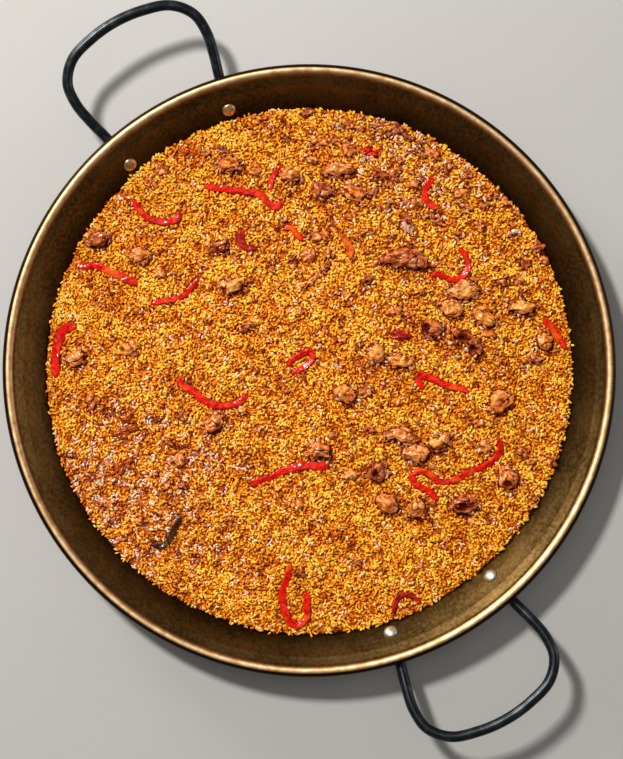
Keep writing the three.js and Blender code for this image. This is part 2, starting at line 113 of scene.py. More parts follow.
def arc(centre, radius, start, end, count):
    """Points of an arc in the (radius, height) plane, by angles in degrees."""
    angles = np.radians(np.linspace(start, end, count))
    return [(centre[0] + radius * math.cos(a), centre[1] + radius * math.sin(a)) for a in angles]


CORNER_CENTRE = (FLOOR_RADIUS, SHEET + CORNER_RADIUS)
BEAD_CENTRE = (RIM_RADIUS - BEAD_RADIUS, RIM_HEIGHT - BEAD_RADIUS)
WALL_FOOT = arc(CORNER_CENTRE, CORNER_RADIUS, -90, -math.degrees(WALL_LEAN), 2)[1]


def wall_radius(height):
    """Radius of the inside of the wall at a height."""
    return WALL_FOOT[0] + (height - WALL_FOOT[1]) * math.tan(WALL_LEAN)


RICE_EDGE = wall_radius(RICE_LEVEL)


def mesh_of(bm, name):
    """A mesh from a bmesh, which is freed."""
    mesh = bpy.data.meshes.new(name)
    bm.to_mesh(mesh)
    bm.free()
    return mesh


def linked(name, data):
    """A new object in the scene."""
    made = bpy.data.objects.new(name, data)
    bpy.context.scene.collection.objects.link(made)
    return made


def carry(mesh, name, values, kind="FLOAT", key="value"):
    """Puts values on a mesh's points, for its material."""
    mesh.attributes.new(name, kind, "POINT").data.foreach_set(key, values.ravel())


def finish_piece(bm, name, material):
    """Turns a bmesh into an object that rides on the pan's body."""
    return dress(mesh_of(bm, name), name, material)


def dress(mesh, name, material):
    """Turns a mesh into a smooth-shaded object that rides on the pan's body."""
    mesh.polygons.foreach_set("use_smooth", [True] * len(mesh.polygons))
    mesh.materials.append(material)
    piece = linked(name, mesh)
    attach(piece, "root")
    return piece


def mesh_from(name, points, triangles):
    """A mesh from arrays of points and of triangles."""
    points = np.asarray(points, np.float32).reshape(-1, 3)
    corners = np.asarray(triangles, np.int32).ravel()
    mesh = bpy.data.meshes.new(name)
    mesh.vertices.add(len(points))
    mesh.vertices.foreach_set("co", points.ravel())
    mesh.loops.add(len(corners))
    mesh.loops.foreach_set("vertex_index", corners)
    mesh.polygons.add(len(corners) // 3)
    mesh.polygons.foreach_set("loop_start", np.arange(0, len(corners), 3, dtype=np.int32))
    mesh.update(calc_edges=True)
    return mesh


def arrays_of(bm):
    """The points and triangles of a bmesh, which is freed."""
    bmesh.ops.triangulate(bm, faces=bm.faces)
    bm.verts.index_update()
    points = np.array([vert.co[:] for vert in bm.verts])
    triangles = np.array([[vert.index for vert in face.verts] for face in bm.faces])
    bm.free()
    return points, triangles


def turned_about(axis, angle):
    """Rotation matrices, one for each angle, about a coordinate axis."""
    turns = np.zeros((len(angle), 3, 3))
    a, b = [(1, 2), (2, 0), (0, 1)][axis]
    turns[:, axis, axis] = 1
    turns[:, a, a] = turns[:, b, b] = np.cos(angle)
    turns[:, b, a], turns[:, a, b] = np.sin(angle), -np.sin(angle)
    return turns


def copies_of(template, places, sizes, turns):
    """Points, by copy, and triangles of copies of a template, each sized, turned and put in place."""
    points, triangles = template
    moved = np.einsum("nij,nkj->nki", turns, points * sizes[:, None]) + places[:, None]
    return moved, (triangles + np.arange(len(places))[:, None, None] * len(points)).reshape(-1, 3)


def spun(profile, steps, sharp=50):
    """A closed bmesh: a profile of (radius, height) points that starts and ends on the axis, spun."""
    bm = bmesh.new()
    line = [bm.verts.new((r, 0, z)) for r, z in profile]
    edges = [bm.edges.new(pair) for pair in zip(line, line[1:])]
    full_turn = {"cent": (0, 0, 0), "axis": (0, 0, 1), "angle": 2 * math.pi}
    bmesh.ops.spin(bm, geom=line + edges, steps=steps, use_merge=True, **full_turn)
    bmesh.ops.remove_doubles(bm, verts=bm.verts, dist=1e-6)
    bmesh.ops.recalc_face_normals(bm, faces=bm.faces)
    for edge in bm.edges:
        edge.smooth = edge.calc_face_angle(0) < math.radians(sharp)
    return bm


def tube_of(rows, sides, place):
    """A closed bmesh whose points place(u, v) sets: from 0 to 1, u runs along it and v around it."""
    bm = bmesh.new()
    bmesh.ops.create_grid(bm, x_segments=rows, y_segments=sides, size=0.5)
    for vert in bm.verts:
        vert.co = place(vert.co.x + 0.5, vert.co.y + 0.5)
    bmesh.ops.remove_doubles(bm, verts=bm.verts, dist=1e-5)
    bmesh.ops.holes_fill(bm, edges=[edge for edge in bm.edges if edge.is_boundary], sides=0)
    bmesh.ops.recalc_face_normals(bm, faces=bm.faces)
    return bm


def smooth_path(points, count):
    """Evenly spaced points on the centripetal Catmull-Rom curve through some points, and its length."""
    steps = 16  # between two of the points
    p = np.array(points, float)
    p = np.vstack([2 * p[0] - p[1], p, 2 * p[-1] - p[-2]])
    knots = np.concatenate([[0], np.cumsum(np.linalg.norm(np.diff(p, axis=0), axis=1) ** 0.5)])

    def blend(a, b, t, first, last):
        return ((knots[last] - t) * a + (t - knots[first]) * b) / (knots[last] - knots[first])

    traced = []
    for i in range(len(p) - 3):
        t = np.linspace(knots[i + 1], knots[i + 2], steps, endpoint=i == len(p) - 4)[:, None]
        sides = [blend(p[k], p[k + 1], t, k, k + 1) for k in (i, i + 1, i + 2)]
        halves = [blend(sides[k], sides[k + 1], t, i + k, i + k + 2) for k in (0, 1)]
        traced.append(blend(*halves, t, i + 1, i + 2))
    line = np.vstack(traced)
    along = np.concatenate([[0], np.cumsum(np.linalg.norm(np.diff(line, axis=0), axis=1))])
    even = np.linspace(0, along[-1], count)
    return np.stack([np.interp(even, along, line[:, k]) for k in range(3)], 1), along[-1]


def from_photo(px, py):
    """The place on the rice of a pixel of the photograph."""
    across = (px - RICE_CENTRE_PX[0]) * RICE_EDGE / RICE_HALF_PX[0]
    up = (RICE_CENTRE_PX[1] - py) * RICE_EDGE / RICE_HALF_PX[1]
    turn = complex(math.cos(HANDLE_TURN), math.sin(HANDLE_TURN))
    place = complex(across, up) * turn
    return place.real, place.imag


def swell(x, y):
    """The level of the rice without its grains: slow rises and dips."""
    x, y = x / MM, y / MM
    slow = np.sin(x / 71 + 0.6) * np.cos(y / 58 - 0.4) + 0.6 * np.sin((x + y) / 37)
    return RICE_LEVEL + RICE_SWELL * slow


def heaped(x, y):
    """The level of the rice with its small heaps and hollows, which flatten out beside toppings."""
    open_rice = 1 - CALM[cells_of(x, y)]
    return swell(x, y) + HEAP_HEIGHT * open_rice * clouds(x, y, HEAP_WIDTH, SEED + 3)


def clouds(x, y, size, seed):
    """Smooth random values about 0, with patches of a size, for arrays of places."""
    rng = np.random.default_rng(seed)
    waves = 14
    total = np.zeros_like(x)
    for _ in range(waves):
        angle, phase = rng.uniform(0, 2 * np.pi, 2)
        wave = 2 * np.pi / (size * rng.uniform(0.7, 1.9))
        total += np.sin((x * np.cos(angle) + y * np.sin(angle)) * wave + phase)
    return total / waves**0.5


# Materials ------------------------------


def shader(name, roughness, metallic=0.0, coat=0.0, coat_roughness=0.1, specular=0.5):
    """A material, its node tree and its Principled shader."""
    material = bpy.data.materials.new(name)
    material.use_nodes = True
    principled = material.node_tree.nodes["Principled BSDF"]
    principled.inputs["Roughness"].default_value = roughness
    principled.inputs["Metallic"].default_value = metallic
    principled.inputs["Coat Weight"].default_value = coat
    principled.inputs["Coat Roughness"].default_value = coat_roughness
    principled.inputs["Specular IOR Level"].default_value = specular
    return material, material.node_tree, principled


def node(tree, kind, values=(), **settings):
    """A shader node with settings, and with values or links on its inputs, by name."""
    made = tree.nodes.new(kind)
    for key, value in settings.items():
        setattr(made, key, value)
    for key, value in dict(values).items():
        if isinstance(value, bpy.types.NodeSocket):
            tree.links.new(value, made.inputs[key])
        else:
            made.inputs[key].default_value = value
    return made


def place_of(tree):
    """Object coordinates."""
    return node(tree, "ShaderNodeTexCoord").outputs["Object"]


def carried(tree, name, output="Fac"):
    """A value that the piece's mesh carries on its points."""
    return node(tree, "ShaderNodeAttribute", attribute_name=name).outputs[output]


def noise_of(tree, place, size, detail=3.0, roughness=0.55, distortion=0.0):
    """Noise from 0 to 1 with features of a size in metres."""
    values = {
        "Vector": place,
        "Scale": 1 / size,
        "Detail": detail,
        "Roughness": roughness,
        "Distortion": distortion,
    }
    return node(tree, "ShaderNodeTexNoise", values).outputs[0]


def ramp(tree, value, stops):
    """A colour from a value, by (position, colour) stops."""
    made = node(tree, "ShaderNodeValToRGB", {0: value})
    elements = made.color_ramp.elements
    while len(elements) < len(stops):
        elements.new(0.5)
    for element, (position, colour) in zip(elements, stops):
        element.position = position
        element.color = (*colour, 1)
    return made.outputs[0]


def math_of(tree, operation, *terms):
    """What an operation makes of some values or sockets."""
    return node(tree, "ShaderNodeMath", dict(enumerate(terms)), operation=operation).outputs[0]


def between(tree, value, low, high):
    """0 below low, 1 above high, and smooth between."""
    values = {"Value": value, "From Min": low, "From Max": high}
    return node(tree, "ShaderNodeMapRange", values, interpolation_type="SMOOTHSTEP").outputs[0]


def mixed(tree, share, a, b, blend="MIX"):
    """Colour a with a share of colour b, each a socket or a colour."""
    a, b = [(*colour, 1) if isinstance(colour, tuple) else colour for colour in (a, b)]
    values = {0: share, 6: a, 7: b}
    return node(tree, "ShaderNodeMix", values, data_type="RGBA", blend_type=blend).outputs[2]


def finished(material, colour, relief, depth, strength):
    """The material, given its colour, and a bump from a relief from 0 to 1."""
    tree = material.node_tree
    principled = tree.nodes["Principled BSDF"]
    tree.links.new(colour, principled.inputs["Base Color"])
    values = {"Height": relief, "Distance": depth, "Strength": strength}
    tree.links.new(node(tree, "ShaderNodeBump", values).outputs[0], principled.inputs["Normal"])
    return material


def pan_steel():
    """Bronze-brown patinated steel, speckled, with a bright band painted along the rolled rim's crest,
    partly wear and partly a painted highlight, and a painted shadow on the rim's outer side.
    """
    material, tree, principled = shader("pan_steel", 0.4, metallic=1.0)
    place = place_of(tree)
    flat = node(tree, "ShaderNodeVectorMath", {0: place, 1: (1, 1, 0)}, operation="MULTIPLY")
    radius = node(tree, "ShaderNodeVectorMath", {0: flat.outputs[0]}, operation="LENGTH").outputs[1]
    patina = ramp(
        tree,
        noise_of(tree, place, 60 * MM, 5),
        [(0.3, (0.045, 0.026, 0.005)), (0.5, (0.080, 0.047, 0.011)), (0.72, (0.14, 0.085, 0.024))],
    )
    mottled = between(tree, noise_of(tree, place, 5 * MM, 3), 0.35, 0.68)
    patina = mixed(tree, math_of(tree, "MULTIPLY", mottled, 0.45), patina, (0.23, 0.132, 0.058))
    height = node(tree, "ShaderNodeSeparateXYZ", {0: place}).outputs[2]
    inside = between(tree, height, 3 * MM, 12 * MM)
    by_food = math_of(tree, "MULTIPLY", between(tree, radius, 380 * MM, 345 * MM), inside)
    patina = mixed(tree, by_food, patina, (0.27, 0.235, 0.16), "MULTIPLY")
    specks = between(tree, noise_of(tree, place, 2.6 * MM, 2), 0.6, 0.7)
    patina = mixed(tree, math_of(tree, "MULTIPLY", specks, 0.7), patina, (0.02, 0.012, 0.004))
    # A painted shadow: the outer side of the rolled rim is darkened.
    rim_outer_shadow = between(tree, radius, RIM_RADIUS - 6.5 * MM, RIM_RADIUS - 4 * MM)
    patina = mixed(tree, rim_outer_shadow, patina, (0.022, 0.009, 0.003))
    # The crest is painted bright, partly as wear and partly as a painted highlight.
    inner = between(tree, radius, RIM_RADIUS - 15 * MM, RIM_RADIUS - 10 * MM)
    outer = between(tree, radius, RIM_RADIUS - 4.8 * MM, RIM_RADIUS - 7.4 * MM)
    worn_and_highlight_band = math_of(tree, "MULTIPLY", inner, outer)
    scuffs = between(tree, noise_of(tree, place, 12 * MM, 5), 0.3, 0.7)
    bright = mixed(tree, scuffs, (0.66, 0.36, 0.15), (0.98, 0.68, 0.38))
    grain = noise_of(tree, place, 1.2 * MM, 3)
    rough = math_of(tree, "MULTIPLY_ADD", grain, 0.2, 0.36)
    tree.links.new(rough, principled.inputs["Roughness"])
    return finished(material, mixed(tree, worn_and_highlight_band, patina, bright), grain, 0.12 * MM, 0.5)


def handle_steel():
    """Smooth black-blue steel, slightly rubbed."""
    material, tree, _ = shader("handle_steel", 0.3, metallic=0.7)
    place = place_of(tree)
    rubbed = between(tree, noise_of(tree, place, 14 * MM, 5), 0.45, 0.75)
    colour = mixed(tree, rubbed, (0.012, 0.015, 0.018), (0.05, 0.06, 0.068))
    return finished(material, colour, noise_of(tree, place, 2 * MM, 3), 0.05 * MM, 0.4)


def rivet_steel(name, worn, dull):
    """Rivet heads, worn in places and dull in others."""
    material, tree, _ = shader(name, 0.4, metallic=0.9)
    place = place_of(tree)
    stained = between(tree, noise_of(tree, place, 5 * MM, 4), 0.4, 0.7)
    colour = mixed(tree, stained, worn, dull)
    return finished(material, colour, noise_of(tree, place, 1.5 * MM, 3), 0.1 * MM, 0.5)


def rice_sauce():
    """What shows between the grains: reduced stock, amber to dark red-brown, with pale patches where it
    pools, partly fat and partly a painted sheen.
    """
    material, tree, principled = shader("rice_sauce", 0.45, coat_roughness=0.2, specular=0.05)
    place = place_of(tree)
    colour = ramp(
        tree,
        noise_of(tree, place, 16 * MM, 5),
        [(0.3, (0.28, 0.028, 0.0005)), (0.5, (0.50, 0.085, 0.001)), (0.7, (0.75, 0.20, 0.004))],
    )
    pool = carried(tree, "pool")
    # Pale patches where sauce pools: partly fat, partly a painted sheen.
    fat_and_sheen = math_of(tree, "MULTIPLY", pool, between(tree, noise_of(tree, place, 5 * MM, 3), 0.45, 0.62))
    colour = mixed(tree, fat_and_sheen, colour, (0.85, 0.50, 0.30))
    coat = node(tree, "ShaderNodeMapRange", {"Value": pool, "To Min": 0.12, "To Max": 0.7})
    tree.links.new(coat.outputs[0], principled.inputs["Coat Weight"])
    # Near-black beside the chicken: a painted shadow, partly juices.
    colour = mixed(tree, carried(tree, "shadow_and_juice"), colour, (0.07, 0.006, 0.0003))
    return finished(material, colour, noise_of(tree, place, 2.5 * MM, 3), 0.8 * MM, 0.7)


def rice_grain():
    """Grains from bright yellow through orange to stained brown, some painted pale on their upper sides
    as glints, a painted highlight.
    """
    material, tree, principled = shader("rice_grain", 0.5, coat_roughness=0.22, specular=0.06)
    look = carried(tree, "grain_look", "Color")
    tone, shine, pale = node(tree, "ShaderNodeSeparateColor", {0: look}).outputs
    stained, brown, orange = (0.10, 0.008, 0.0003), (0.47, 0.068, 0.001), (0.86, 0.25, 0.006)
    golden, yellow = (0.98, 0.47, 0.022), (1.0, 0.66, 0.075)
    stops = [(0.0, stained), (0.25, brown), (0.5, orange), (0.75, golden), (1.0, yellow)]
    colour = mixed(tree, pale, ramp(tree, tone, stops), (1.0, 0.76, 0.58))
    tree.links.new(shine, principled.inputs["Coat Weight"])
    skin = noise_of(tree, place_of(tree), 0.9 * MM, 2)
    return finished(material, colour, skin, 0.15 * MM, 0.5)


def chicken_meat(name, dark, middle, light):
    """Browned, moist chicken: fibres and patches along the piece, with painted shade low down and in
    its creases.
    """
    material, tree, principled = shader(name, 0.45, coat_roughness=0.16, specular=0.05)
    flow = carried(tree, "flow", "Vector")
    crease, foot_shade = carried(tree, "crease"), carried(tree, "foot_shade")
    patches = noise_of(tree, flow, 11 * MM, 3, 0.5, 0.8)
    colour = ramp(tree, patches, [(0.32, dark), (0.43, middle), (0.57, middle), (0.72, light)])
    fibre_place = node(tree, "ShaderNodeMapping", {"Vector": flow, "Scale": (1, 3, 3)}).outputs[0]
    fibres = noise_of(tree, fibre_place, 14 * MM, 3, 0.6, 0.4)
    pale_fibres = math_of(tree, "MULTIPLY", between(tree, fibres, 0.53, 0.62), 0.5)
    dark_fibres = math_of(tree, "MULTIPLY", between(tree, fibres, 0.46, 0.38), 0.75)
    colour = mixed(tree, dark_fibres, mixed(tree, pale_fibres, colour, light), dark)
    # Painted shade low down on the piece.
    colour = mixed(tree, foot_shade, colour, tuple(0.8 * c for c in dark))
    hidden = math_of(tree, "MAXIMUM", foot_shade, crease)
    coat = node(tree, "ShaderNodeMapRange", {"Value": hidden, "To Min": 0.9, "To Max": 0.0})
    tree.links.new(coat.outputs[0], principled.inputs["Coat Weight"])
    # Painted shade in the creases.
    colour = mixed(tree, crease, colour, tuple(0.45 * c for c in dark))
    lumps = noise_of(tree, flow, 4.5 * MM, 3, 0.5)
    return finished(material, colour, lumps, 1.1 * MM, 0.9)


def pepper_flesh(name, deep, bright, patch_tone):
    """Roasted pepper: wet, deeper in colour in some patches and more orange in others."""
    material, tree, _ = shader(name, 0.35, coat=0.5, coat_roughness=0.14, specular=0.08)
    place = place_of(tree)
    colour = mixed(tree, between(tree, noise_of(tree, place, 6 * MM, 4), 0.40, 0.56), deep, bright)
    colour = mixed(tree, between(tree, noise_of(tree, place, 28 * MM, 2), 0.55, 0.68), colour, patch_tone)
    return finished(material, colour, noise_of(tree, place, 3.2 * MM, 3), 1.1 * MM, 0.8)


def table_top():
    """The plain pale table."""
    material, tree, principled = shader("table_top", 0.85, specular=0.15)
    cloud = noise_of(tree, place_of(tree), 0.5, 3)
    colour = mixed(tree, cloud, (0.47, 0.465, 0.455), (0.52, 0.515, 0.505))
    tree.links.new(colour, principled.inputs["Base Color"])
    return material


# The pan ------------------------------


def make_pan():
    """The pan: floor, rounded corner, leaning wall, a crease, and a flared rim rolled over wire."""
    crease = (wall_radius(CREASE_HEIGHT), CREASE_HEIGHT)
    outward = Vector((math.cos(WALL_LEAN), -math.sin(WALL_LEAN))) * SHEET
    lean = -math.degrees(WALL_LEAN)
    outer_crease = (crease[0] + outward.x, crease[1] + outward.y)
    floor = np.linspace(0, FLOOR_RADIUS, 12)[:-1]
    profile = [(r, 0) for r in floor]
    profile += arc(CORNER_CENTRE, CORNER_RADIUS + SHEET, -90, lean, 10)
    profile += [outer_crease]
    profile += arc(BEAD_CENTRE, BEAD_RADIUS, -144, 170, 30)
    seam = Vector(profile[-1])
    profile += [tuple(seam.lerp(Vector(crease), t)) for t in (0.25, 0.6, 0.9)]
    profile += [(crease[0] - 0.6 * MM, crease[1] - 0.1 * MM)]
    profile += [(wall_radius(z * MM), z * MM) for z in (44.5, 36, 26, 16)]
    profile += arc(CORNER_CENTRE, CORNER_RADIUS, lean, -90, 10)
    profile += [(r, SHEET) for r in floor[::-1]]
    pan = finish_piece(spun(profile, 240, 40), "steel_pan", STEEL)
    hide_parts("pan")


def wall_at(end, side):
    """A rivet's place on the inside of the wall, the way up the wall there, and the way out of it."""
    bearing = (0 if end > 0 else math.pi) + side * RIVET_SPREAD
    radial = Vector((math.cos(bearing), math.sin(bearing), 0))
    height = WALL_FOOT[1] + (RIVET_RADIUS - WALL_FOOT[0]) / math.tan(WALL_LEAN)
    up_wall = radial * math.sin(WALL_LEAN) + Vector((0, 0, math.cos(WALL_LEAN)))
    out_of_wall = radial * math.cos(WALL_LEAN) - Vector((0, 0, math.sin(WALL_LEAN)))
    return radial * RIVET_RADIUS + Vector((0, 0, height)), up_wall, out_of_wall


def make_rivets():
    """Domed heads inside the pan and on the tabs, on one shank through both."""
    under = -SHEET - 2 * GAP - TAB_THICKNESS

    def dome(base, way):
        return [
            (RIVET_HEAD * math.cos(a), base + way * RIVET_DOME * math.sin(a))
            for a in np.linspace(0, math.pi / 2, 8)
        ]

    shank = [(RIVET_SHANK, under), (RIVET_SHANK, GAP)]
    profile = dome(under, -1)[::-1] + shank + dome(GAP, 1)
    for number, (end, side) in enumerate([(1, 1), (1, -1), (-1, 1), (-1, -1)], 1):
        place, _, out_of_wall = wall_at(end, side)
        bm = spun(profile, 32)
        turn = (-out_of_wall).to_track_quat("Z", "Y").to_matrix().to_4x4()
        bmesh.ops.transform(bm, matrix=Matrix.Translation(place) @ turn, verts=bm.verts)
        rivet = finish_piece(bm, f"rivet_head_{number}", RIVETS[end])
        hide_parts(f"rivet_{number}")


def make_handle(end, node_name):
    """One bent-wire handle, its ends hammered into flat tabs on the outside of the wall."""
    tab = SHEET + GAP + TAB_THICKNESS / 2
    wire = SHEET + GAP + WIRE_RADIUS

    def leg(side):
        place, up_wall, out_of_wall = wall_at(end, side)
        steps = [(-TAB_LENGTH / 2, tab), (0, tab), (11 * MM, tab), (21 * MM, wire + 0.6 * MM)]
        return [place + up_wall * up + out_of_wall * out for up, out in steps]

    # Beyond the wall, in millimetres: distance along X, across it, and height.
    loop = [(386, 82.2, 38.2), (401, 86, 42), (424, 92.5, 50), (450, 97.5, 58), (478, 94, 66),
            (501, 73, 71.5), (512.5, 36, 74.2)]

    def beyond(side):
        return [Vector((end * x, end * side * y, z)) * MM for x, y, z in loop]

    points = [*leg(1), *beyond(1), Vector((end * 516, 0, 75)) * MM]
    points += [*beyond(-1)[::-1], *leg(-1)[::-1]]
    count, sides = 150, 18
    line, length = smooth_path(points, count)
    tangents = np.gradient(line, axis=0)
    outward = [wall_at(end, 1)[2], wall_at(end, -1)[2]]

    def surface(u, v):
        i = min(round(u * (count - 1)), count - 1)
        to_end = min(u, 1 - u) * length
        share = min(max((to_end - 0.92 * TAB_LENGTH) / (0.63 * TAB_LENGTH), 0), 1)
        roundness = share * share * (3 - 2 * share)
        half_width = TAB_HALF_WIDTH + (WIRE_RADIUS - TAB_HALF_WIDTH) * roundness
        half_width *= min(1, 0.72 + 0.28 * (to_end / (6 * MM)) ** 0.5)  # the tab's rounded tip
        half_thick = TAB_THICKNESS / 2 + (WIRE_RADIUS - TAB_THICKNESS / 2) * roundness
        along = Vector(tangents[i]).normalized()
        face = outward[0 if u < 0.5 else 1].lerp(Vector((0, 0, -1)), roundness)
        face = (face - along * face.dot(along)).normalized()
        across = along.cross(face)
        angle = 2 * math.pi * v
        square = 0.55 + 0.45 * roundness  # flattened, with rounded edges
        across_share = math.copysign(abs(math.cos(angle)) ** square, math.cos(angle))
        face_share = math.copysign(abs(math.sin(angle)) ** square, math.sin(angle))
        at = Vector(line[i])
        return at + across * (half_width * across_share) + face * (half_thick * face_share)

    bm = tube_of(count - 1, sides, surface)
    handle = finish_piece(bm, f"wire_{node_name}", BLACK_STEEL)
    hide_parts(node_name)


# The toppings ------------------------------

# Pepper strips: width in millimetres, colour, and the middle line in the photograph, in pixels.
PEPPERS = {
    "pepper_hook_nw": (8.5, "red", [
        (130, 203), (138, 213.5), (146, 221.5), (156, 224.5), (167, 226), (177, 222), (178, 215),
    ]),
    "pepper_west": (9.5, "red", [
        (75, 267.5), (83, 270.5), (92, 269), (103, 273), (117, 278.5), (137, 287.5),
    ]),
    "pepper_bar_north": (8.5, "red", [
        (203.5, 190.2), (235, 194.8), (262, 199), (271, 208.5), (279, 211.5), (285, 205),
    ]),
    "pepper_curl_north": (7.5, "red", [(281.5, 170), (276.5, 177.5), (272.5, 186), (271.8, 194)]),
    "pepper_plum": (9, "plum", [(243, 234), (241, 245), (247.5, 252), (258, 251.5)]),
    "pepper_centre_north": (7.5, "red", [(285.5, 231.5), (293, 232.5), (299, 239.5), (307.5, 243)]),
    "pepper_orange": (9, "orange", [(344.5, 238), (350, 246), (353, 254), (354.5, 262)]),
    "pepper_east_arc": (8.5, "red", [
        (438.5, 182), (432, 190.5), (429, 200), (434.5, 208.5), (443.5, 212),
    ]),
    "pepper_east_hook": (7.5, "red", [
        (434.5, 279.5), (441.5, 277), (451.5, 281.5), (461, 283), (470, 277), (473, 267.5),
        (470, 258), (465, 252),
    ]),
    "pepper_west_edge": (12, "red", [
        (74, 330), (65, 329), (57.5, 339), (53.5, 351), (53, 365), (53.5, 379),
    ]),
    "pepper_south_west": (7, "red", [
        (198.5, 281), (192, 290), (183.5, 298.5), (173, 302), (161, 304), (151, 307),
    ]),
    "pepper_smile": (8.5, "red", [
        (178, 380.5), (184, 388), (192, 392), (202, 400), (214, 405.5), (227, 407.2), (239, 404),
        (248.5, 396),
    ]),
    "pepper_leaf": (7.5, "red", [
        (289, 368.5), (299.5, 359), (312, 353.5), (314.5, 361), (305, 370), (293.5, 375.5),
    ]),
    "pepper_mid": (9.5, "red", [
        (252, 486), (261.5, 480), (273, 477.5), (283, 471.5), (303, 466.3), (331, 466.3),
    ]),
    "pepper_u_south": (9, "red", [
        (291, 561), (289.5, 575), (285, 588), (285, 602), (290.5, 615), (299, 621), (307.5, 614),
        (309.5, 601), (308, 589),
    ]),
    "pepper_dark_south": (7, "plum", [
        (396.5, 609), (399.5, 597), (408, 591.5), (417.5, 594.5), (424, 600),
    ]),
    "pepper_long": (8.5, "red", [
        (504.5, 438.5), (505, 451), (499.5, 459.5), (487, 467), (470, 473.5), (455, 480.5),
        (443.5, 481), (434, 475), (424, 471), (415, 474), (417, 481.5), (426, 487.5), (434, 491),
        (441.5, 500),
    ]),
    "pepper_fold_east": (8.5, "red", [
        (427.5, 391), (423, 384), (422.5, 376.5), (431, 378.5), (444, 384), (455, 388), (465, 389.5),
        (473.5, 393.5),
    ]),
    "pepper_east_edge": (9, "red", [(550, 321.5), (557, 329), (563.5, 337.5), (572.5, 351.5)]),
    "pepper_skin_curl": (7.5, "skin", [(182, 515), (175.5, 526), (170, 536.5), (161, 544), (152, 543)]),
}

# The smallest bits, which belong to the rice: middle in the photograph, in pixels; length and width,
# in millimetres; turn in the photograph, in degrees; and colour, where it isn't brown.
BITS = [
    (159, 174, 19, 15, 20), (150, 190, 17, 11, -20), (159, 277, 22, 12, -10), (256, 175, 16, 11, 0),
    (322, 147, 19, 14, 0), (352, 154, 19, 15, 30), (385, 183, 19, 11, 10, "dark"),
    (312, 259, 20, 16, 0), (370, 284, 15, 12, 40, "dark"), (361, 134, 14, 11, 0),
    (387, 139, 15, 11, 60), (466, 199, 21, 13, 10), (486, 231, 19, 13, -30),
    (544, 252, 18, 15, 20, "dark"), (499, 201, 15, 11, 0), (531, 268, 16, 13, 45, "dark"),
    (398, 315, 18, 13, 0), (484, 424, 14, 10, 0), (489, 448, 21, 18, 0), (558, 462, 15, 12, 70),
    (538, 496, 13, 10, 0), (351, 476, 20, 17, 0, "tan"), (300, 504, 15, 12, 20, "tan"),
    (303, 572, 13, 10, 0, "dark"), (92, 403, 19, 17, 0), (183, 417, 16, 14, 80, "dark"),
    (248, 330, 21, 16, 10, "dark"), (180, 462, 21, 18, 0), (129, 351, 21, 17, 15),
    (124, 433, 38, 12, 20, "amber"), (373, 157, 20, 9, 10, "red"), (188, 157, 22, 9, -15, "orange"),
    (371, 394, 19, 14, 10, "dark"), (141, 520, 13, 10, 0), (230, 520, 14, 11, 40),
    (360, 560, 14, 11, 0), (311, 118, 18, 10, 0, "dark"), (354, 131, 14, 11, -20),
    (378, 130, 15, 10, 0), (401, 134, 17, 12, -15, "dark"), (336, 143, 17, 11, 10),
    (400, 177, 16, 11, 30), (418, 189, 20, 12, -25), (437, 159, 20, 13, -30), (457, 169, 15, 11, -30),
    (470, 213, 18, 13, 0), (418, 210, 22, 14, 20), (411, 224, 18, 10, -30, "dark"),
    (428, 220, 13, 10, 0, "tan"), (377, 198, 16, 12, 60, "dark"), (443, 268, 13, 8, 10),
    (494, 338, 18, 11, -10), (404, 338, 28, 11, -10, "plum"), (542, 361, 17, 15, 0, "dark"),
    (524, 284, 20, 11, -15), (528, 453, 20, 9, -30), (437, 504, 16, 8, -60), (374, 431, 14, 10, 0),
    (222, 155, 15, 10, -20, "dark"), (206, 157, 14, 9, 0), (296, 264, 14, 9, -20, "dark"),
    (322, 241, 24, 13, 8), (330, 256.5, 18, 9, 65), (328, 272, 17, 9, 40, "dark"),
    (314, 284, 28, 7, 48), (342, 131, 13, 9, 0, "pale"), (412, 142, 15, 9, -30, "dark"),
    (315, 164, 16, 10, 0), (411, 233, 18, 12, -50, "pale"), (511, 206, 14, 10, -40),
    (523, 216, 13, 9, -45), (523, 237, 13, 9, -30, "pale"), (551, 265, 13, 9, -20),
    (508, 287, 20, 8, -10, "dark"), (127, 419, 20, 9, 60, "amber"), (121, 467, 26, 13, 35, "amber"),
    (183, 486, 16, 9, 0, "dark"), (168, 487, 16, 10, 80), (158, 420, 13, 8, 20, "dark"),
    (169, 443, 16, 8, -30, "dark"),
]

# How each chicken piece is cooked; the rest are brown.
TAN = ("chicken_thigh_pale", "chicken_thigh_tan", "chicken_skin_tan", "chicken_east",
       "chicken_rib_tan", "chicken_round_tan", "chicken_strip_tan", "chicken_ball_south",
       "chicken_tan_north_west")
DARK = ("chicken_wing", "chicken_dark_east", "chicken_split_se", "chicken_dark_mid",
        "chicken_dark_west", "chicken_dark_north_west", "chicken_dark_north", "chicken_back_north")

# Hollows dug into chicken pieces and painted dark as shade: middle in the photograph, in pixels, and
# radius, in millimetres.
HOLLOWS = [(467, 339, 11), (477, 351, 6), (429, 330, 8), (467, 506, 9), (512, 484, 7), (378, 474, 8)]

# Where crumbs of meat are strewn, in the photograph's pixels: middle, spread, and how many are tried.
CRUMB_SWARMS = [((400, 260), (110, 130), 2300), ((430, 160), (62, 50), 1500)]


